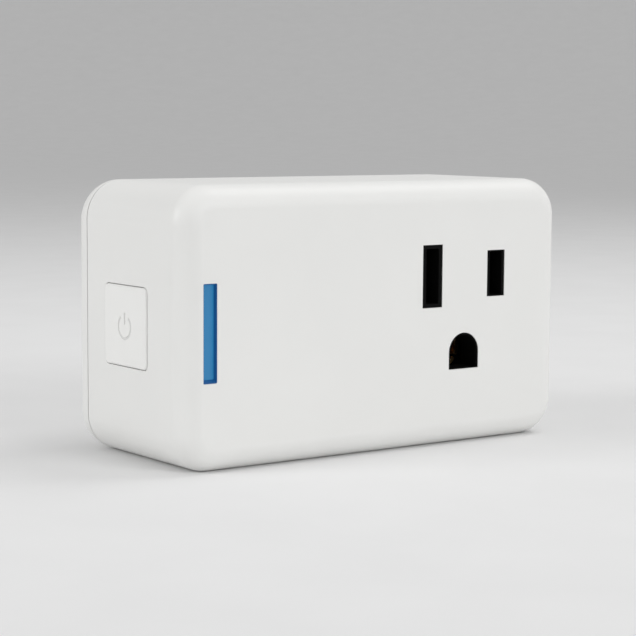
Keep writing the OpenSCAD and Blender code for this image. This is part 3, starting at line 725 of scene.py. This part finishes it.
def make_capacitors():
    """Three cans, one above another, each with a cross-shaped vent in its metal top."""
    x = mid("output_capacitor").x
    groove, deep, vent_inset = 0.16 * MM, 0.06 * MM, 1.3 * MM
    bulk = size("bulk_capacitors")
    bulk_r = bulk.x / 2
    bulk_z = [low("bulk_capacitors").z + bulk_r, high("bulk_capacitors").z - bulk_r]
    out = size("output_capacitor")
    groups = [("bulk_cans", bulk_r, bulk.y, bulk_z, "bulk_capacitors"),
              ("output_can", out.x / 2, out.y, [mid("output_capacitor").z], "output_capacitor")]
    for name, radius, length, heights, node in groups:
        sleeve, disc, face = capacitor_profiles(radius, length)
        turned(name, [(sleeve, (x, z)) for z in heights], "y", "capacitor_sleeve",
               replaces=[node])
        tops = turned(name + "_tops", [(disc, (x, z)) for z in heights], "y", "tin_shield")
        span = 2 * (radius - vent_inset)
        cuts = []
        for z in heights:
            for w, h in ((span, groove), (groove, span)):
                cuts.append(prism("vent", rectangle(x, z, w, h), "y", face - OUT, face + deep))
        combine(tops, cuts, "DIFFERENCE")


def make_varistor():
    """A coated disc on edge with its two wires into the board."""
    place, dims = mid("varistor"), size("varistor")
    radius = dims.z / 2
    half = dims.x / 2
    y = low("varistor").y + radius
    coat = [(0, -half), (radius * 0.7, -half), (radius * 0.85, -half * 0.93),
            (radius * 0.95, -half * 0.72), (radius, -half * 0.35), (radius, half * 0.35),
            (radius * 0.95, half * 0.72), (radius * 0.85, half * 0.93), (radius * 0.7, half),
            (0, half)]
    disc = [(r, place.x + a) for r, a in coat]
    turned("varistor_disc", [(disc, (y, place.z))], "x", "varistor_coat",
           replaces=["varistor"], steps=64)
    wire_r, spread, tip, end = 0.3 * MM, 2.0 * MM, 0.15 * MM, high("varistor").y
    wire = [(0, y), (wire_r, y), (wire_r, end - tip), (wire_r * 0.6, end), (0, end)]
    turned("varistor_wires", [(wire, (place.x, place.z + s * spread)) for s in (-1, 1)], "y",
           "tin_shield", steps=20)


def make_fuse():
    """A ceramic tube between two pressed caps, each with a shallow dimple."""
    place, dims = mid("fuse"), size("fuse")
    cap_r, half, cap = dims.z / 2, dims.x / 2, 1.6 * MM
    tube_r = cap_r - 0.1 * MM
    tube_play, tube_inset, dimple, hollow = 0.02 * MM, 0.2 * MM, 0.12 * MM, 0.15 * MM
    corner, lip, lip_inset = 0.25 * MM, 0.06 * MM, 0.03 * MM
    tube_low, tube_high = place.x - half + tube_inset, place.x + half - tube_inset
    tube = [(0, tube_low), (tube_r - tube_play, tube_low), (tube_r - tube_play, tube_high),
            (0, tube_high)]
    turned("fuse_tube", [(tube, (place.y, place.z))], "x", "fuse_ceramic", replaces=["fuse"])
    caps = []
    for s in (-1, 1):
        end, inner = place.x + s * half, place.x + s * (half - cap)
        caps.append(([(0, end - s * dimple), (cap_r * 0.45, end - s * dimple), (cap_r * 0.55, end),
                      (cap_r * 0.86, end), (cap_r, end - s * corner), (cap_r, inner + s * lip),
                      (cap_r - lip_inset, inner), (tube_r, inner), (tube_r, end - s * hollow),
                      (0, end - s * hollow)], (place.y, place.z)))
    turned("fuse_caps", caps, "x", "tin_shield")


def make_relay_coil():
    """The relay's winding with one ridge for each layer of wire along the spool."""
    place, dims = mid("relay_winding"), size("relay_winding")
    outer, core, ridge = dims.x / 2, 2.35 * MM, 0.09 * MM
    start, end, turns, points = low("relay_winding").y, high("relay_winding").y, 26, 4
    profile = [(core, start)]
    for i in range(turns * points + 1):
        wave = abs(math.sin(math.pi * i / points))
        profile.append((outer - ridge + ridge * wave,
                        start + (end - start) * i / (turns * points)))
    profile.append((core, end))
    bm = bmesh.new()
    loft(bm, [[placed("y", along, u, v) for u, v in circle(place.x, place.z, radius, 64)]
              for radius, along in profile], closed=False)
    coil = object_from_bmesh(bm, "relay_coil")
    smooth_lathe(coil, 70)
    dress(coil, "copper_wire", replaces=["relay_winding"])


def make_solder():
    """Solder cones on both sides of the main board."""
    def cone(radius, height, base, out):
        steps = [(1.0, 0.0), (0.78, 0.12), (0.58, 0.35), (0.46, 0.65), (0.38, 0.9), (0.2, 1.0)]
        return ([(0, base)] + [(radius * r, base + out * height * h) for r, h in steps]
                + [(0, base + out * height * 1.02)])

    spots = []
    header = mid("header_pins")
    pitch, wire_spread, tail_drop = 2.54 * MM, 2 * MM, 3.8 * MM
    header_cone = cone(0.75 * MM, 1.25 * MM, BOARD_Y, 1)
    tail_cone = cone(1.6 * MM, 0.95 * MM, BOARD_Y, 1)
    tab_cone = cone(2.3 * MM, 0.9 * MM, BOARD_FRONT, -1)
    wire_cone = cone(0.8 * MM, 1.0 * MM, BOARD_Y, 1)
    for i in range(-2, 3):
        spots.append((header_cone, (header.x, header.z + i * pitch)))
    for x in (NEUTRAL.x, HOT.x):
        spots.append((tail_cone, (x, NEUTRAL.z - tail_drop)))
        spots.append((tab_cone, (x, NEUTRAL.z)))
    wires = mid("varistor")
    for s in (-1, 1):
        spots.append((wire_cone, (wires.x, wires.z + s * wire_spread)))
    turned("solder_joints", spots, "y", "tin_shield", steps=32)


make_capacitors()
make_varistor()
make_fuse()
make_relay_coil()
make_solder()


# ---------------------------------------------------------------- leads of the flat parts

def gull_wing(sx, x, y_top, thick=0.2):
    """Side view (x, y) of a bent lead that leaves a package's side and lands on the board."""
    t = thick * MM
    inside, out, foot, rise = 0.3 * MM, 0.5 * MM, 0.6 * MM, y_top
    board = BOARD_Y + 0.02 * MM      # a film of solder above the board
    return [(x - sx * inside, rise), (x + sx * out, rise), (x + sx * (out + t), rise - t * 0.4),
            (x + sx * (out + t), board + t), (x + sx * (out + foot), board + t),
            (x + sx * (out + foot), board), (x + sx * out, board), (x + sx * out, rise - t),
            (x - sx * inside, rise - t)]


def make_leads(name, node, per_side, pitch, width):
    """Bent leads along both sides of a package, as one piece."""
    exit_height, edge = 0.55, 0.03 * MM
    box_low, box_high, place = low(node), high(node), mid(node)
    height = box_low.y + exit_height * (box_high.y - box_low.y)
    parts = []
    for sx in (-1, 1):
        x = box_high.x if sx > 0 else box_low.x
        for i in range(per_side):
            z = place.z + (i - (per_side - 1) / 2) * pitch
            parts.append(prism(name, gull_wing(sx, x, height), "z", z - width / 2, z + width / 2))
    leads = parts[0]
    combine(leads, parts[1:], "UNION")
    finish_edges(leads, edge, 2)
    dress(leads, "tin_shield")


def make_chip_ends():
    """Tinned ends of the small surface-mounted parts."""
    box_low = low("smd_parts")
    body = Vector((2.0, 0.6, 1.25)) * MM
    per_row, pitch, end, proud, edge = 5, 3.4 * MM, 0.4 * MM, 0.03 * MM, 0.05 * MM
    rows = (box_low.z + body.z / 2, high("smd_parts").z - body.z / 2)
    bm = bmesh.new()
    for z in rows:
        for i in range(per_row):
            for s in (-1, 1):
                x = box_low.x + body.x / 2 + i * pitch + s * (body.x / 2 - end / 2 + proud)
                box(bm, (x, BOARD_Y + body.y / 2 + proud, z),
                    (end, body.y + 2 * proud, body.z + 2 * proud))
    ends = object_from_bmesh(bm, "chip_ends")
    finish_edges(ends, edge, 2)
    dress(ends, "tin_shield")


make_leads("rectifier_leads", "bridge_rectifier", 2, pitch=5.1 * MM, width=0.8 * MM)
make_leads("converter_leads", "converter_chip", 3, pitch=1.27 * MM, width=0.4 * MM)
make_chip_ends()


# ---------------------------------------------------------------- blades

def make_blade(name, node):
    """A flat blade with a chamfered tip and a hole, the shoulder that holds it, and its tab."""
    tip, shoulder_h, shoulder_t = 1.6 * MM, 1.2 * MM, 1.0 * MM
    tab_t, tab_h = 1.0 * MM, 3.0 * MM
    hole_r, hole_y, edge_r = 1.6 * MM, WALL_Y + 11.7 * MM, 0.18 * MM
    place, half_t = mid(node), size(node).x / 2
    half_h = (size(node).z - shoulder_h) / 2
    held_y, start_y, end_y = low("prong_retainer").y, low(node).y, high(node).y
    near, far = place.x - half_t, place.x + half_t
    outline = [(held_y, -half_h), (end_y - tip, -half_h), (end_y, tip - half_h),
               (end_y, half_h - tip), (end_y - tip, half_h), (held_y, half_h)]
    blade = prism(name, [(y, place.z + z) for y, z in outline], "x", near, far)
    shoulder = prism("shoulder", rectangle(held_y + shoulder_t / 2, place.z, shoulder_t,
                                           size(node).z), "x", near, far)
    tab = prism("tab", rectangle((start_y + held_y) / 2 + tab_t / 4, place.z,
                                 held_y - start_y + tab_t / 2, tab_h), "x",
                place.x - tab_t / 2, place.x + tab_t / 2)
    combine(blade, [shoulder, tab], "UNION")
    finish_edges(blade, edge_r)
    hole = prism("hole", circle(hole_y, place.z, hole_r, 64), "x", near - OUT, far + OUT)
    combine(blade, [hole], "DIFFERENCE")
    finish_edges(blade, SHARP_R, 2, 60)
    dress(blade, "nickel_brass", replaces=[node])


make_blade("blade_neutral", "neutral_blade")
make_blade("blade_hot", "hot_blade")


# ---------------------------------------------------------------- carried-over CAD nodes

EDGES = {                            # bevel of each node's edges, in millimetres
    "contact_carrier": 0.08, "carrier_lid": 0.12, "neutral_contact": 0.06, "hot_contact": 0.06,
    "ground_contact": 0.05, "ground_strap": 0.08, "ground_pin": 0.06, "prong_retainer": 0.2,
    "main_board": 0.08, "board_screws": 0.15, "control_board": 0.08, "board_header": 0.12,
    "header_pins": 0.1, "status_leds": 0.12, "switch_body": 0.15, "switch_dome": 0.05,
    "switch_plunger": 0.15, "wifi_board": 0.06, "wifi_shield": 0.1, "wifi_antenna": 0.03,
    "relay_base": 0.15, "relay_case": 0.3, "relay_bobbin": 0.08, "relay_core": 0.1,
    "relay_yoke": 0.12, "relay_armature": 0.1, "contact_spring": 0.05, "fixed_contact": 0.08,
    "transformer_core": 0.2, "transformer_bobbin": 0.1, "transformer_winding": 0.3,
    "bridge_rectifier": 0.2, "converter_chip": 0.15, "smd_parts": 0.05,
}
EDGE_ANGLE = 35                      # degrees; a sharper edge than this is bevelled
FLAT_ANGLE = 0.5                     # degrees; triangles closer than this are joined
KEPT_TRIANGLES = {                   # nodes whose joined flat faces would triangulate badly
    "board_header", "relay_case", "transformer_core", "transformer_bobbin",
    "transformer_winding",
}
for row in frame["record"]["subparts"]:
    node = frame["nodes"][row["node"]]
    node.data.materials.clear()
    node.data.materials.append(MATERIALS[row["material_slot"]])
    if row["node"] in EDGES:
        node.data.polygons.foreach_set("use_smooth", [True] * len(node.data.polygons))
        weld = node.modifiers.new("weld", "WELD")
        weld.merge_threshold = SLIVER
        if row["node"] not in KEPT_TRIANGLES:
            flat = node.modifiers.new("flat", "DECIMATE")
            flat.decimate_type = "DISSOLVE"
            flat.angle_limit = math.radians(FLAT_ANGLE)
        add_edge_modifiers(node, EDGES[row["node"]] * MM, 2, EDGE_ANGLE)


# ---------------------------------------------------------------- stage, light and camera

def make_floor():
    """A pale round floor that rises gently far behind the object, whatever side it is seen from."""
    floor_z = low("front_housing").z
    flat_r, rise_r, rise, steps, around = 1.6, 1.6, 0.75, 16, 96
    bm = bmesh.new()
    rows = []
    for step in range(steps + 1):
        part = step / steps
        radius, z = flat_r + rise_r * part, rise * part * part
        rows.append([bm.verts.new((radius * math.cos(math.tau * turn / around),
                                   radius * math.sin(math.tau * turn / around),
                                   floor_z + z)) for turn in range(around)])
    bm.faces.new(rows[0])
    for a, b in zip(rows, rows[1:]):
        for turn in range(around):
            after = (turn + 1) % around
            bm.faces.new((a[turn], b[turn], b[after], a[after]))
    bmesh.ops.recalc_face_normals(bm, faces=bm.faces)
    mesh = bpy.data.meshes.new("floor")
    bm.to_mesh(mesh)
    bm.free()
    mesh.polygons.foreach_set("use_smooth", [True] * len(mesh.polygons))
    floor = bpy.data.objects.new("floor", mesh)
    bpy.context.scene.collection.objects.link(floor)
    mesh.materials.append(plastic("floor_paper", (0.80, 0.80, 0.80), rough=0.8,
                                  grain_per_mm=0.5, grain=0.01, mottle=0.01, specular=0.2))


def area_light(name, place, diameter, power, spread):
    """A round soft light that points at the object and stays out of the picture."""
    light = bpy.data.lights.new(name, "AREA")
    light.shape = "DISK"
    light.size = diameter
    light.energy = power
    light.spread = math.radians(spread)
    obj = bpy.data.objects.new(name, light)
    obj.location = place
    obj.rotation_mode = "QUATERNION"
    obj.rotation_quaternion = (-Vector(place)).to_track_quat("-Z", "Y")
    obj.visible_camera = False
    bpy.context.scene.collection.objects.link(obj)


def set_world(strength):
    """Even white light from all round."""
    world = bpy.data.worlds.new("studio")
    bpy.context.scene.world = world
    world.use_nodes = True
    background = world.node_tree.nodes["Background"]
    background.inputs["Color"].default_value = (1, 1, 1, 1)
    background.inputs["Strength"].default_value = strength


def make_camera():
    """The camera stands to the left of the front face, a little above it, and looks down."""
    data = bpy.data.cameras.new("camera")
    data.sensor_width = 36.0
    data.lens = 107.66
    data.clip_start = 0.01
    camera = bpy.data.objects.new("camera", data)
    bpy.context.scene.collection.objects.link(camera)
    yaw, pitch, roll = math.radians(36.2), math.radians(6.0), math.radians(0.35)
    camera.location = (-0.1747, -0.2549, 0.0297)
    look = Vector((math.sin(yaw) * math.cos(pitch), math.cos(yaw) * math.cos(pitch),
                   -math.sin(pitch)))
    camera.rotation_mode = "QUATERNION"
    camera.rotation_quaternion = look.to_track_quat("-Z", "Y") @ Quaternion((0, 0, 1), roll)
    bpy.context.scene.camera = camera


make_floor()
area_light("front_soft", (0.25, -1.05, 0.45), diameter=0.6, power=0.43, spread=50)
area_light("end_soft", (-1.05, 0.27, 0.45), diameter=0.6, power=0.47, spread=50)
area_light("top_soft", (0.45, -0.12, 0.75), diameter=0.5, power=0.8, spread=120)
set_world(0.56)
make_camera()
bpy.context.scene.view_settings.view_transform = "Standard"
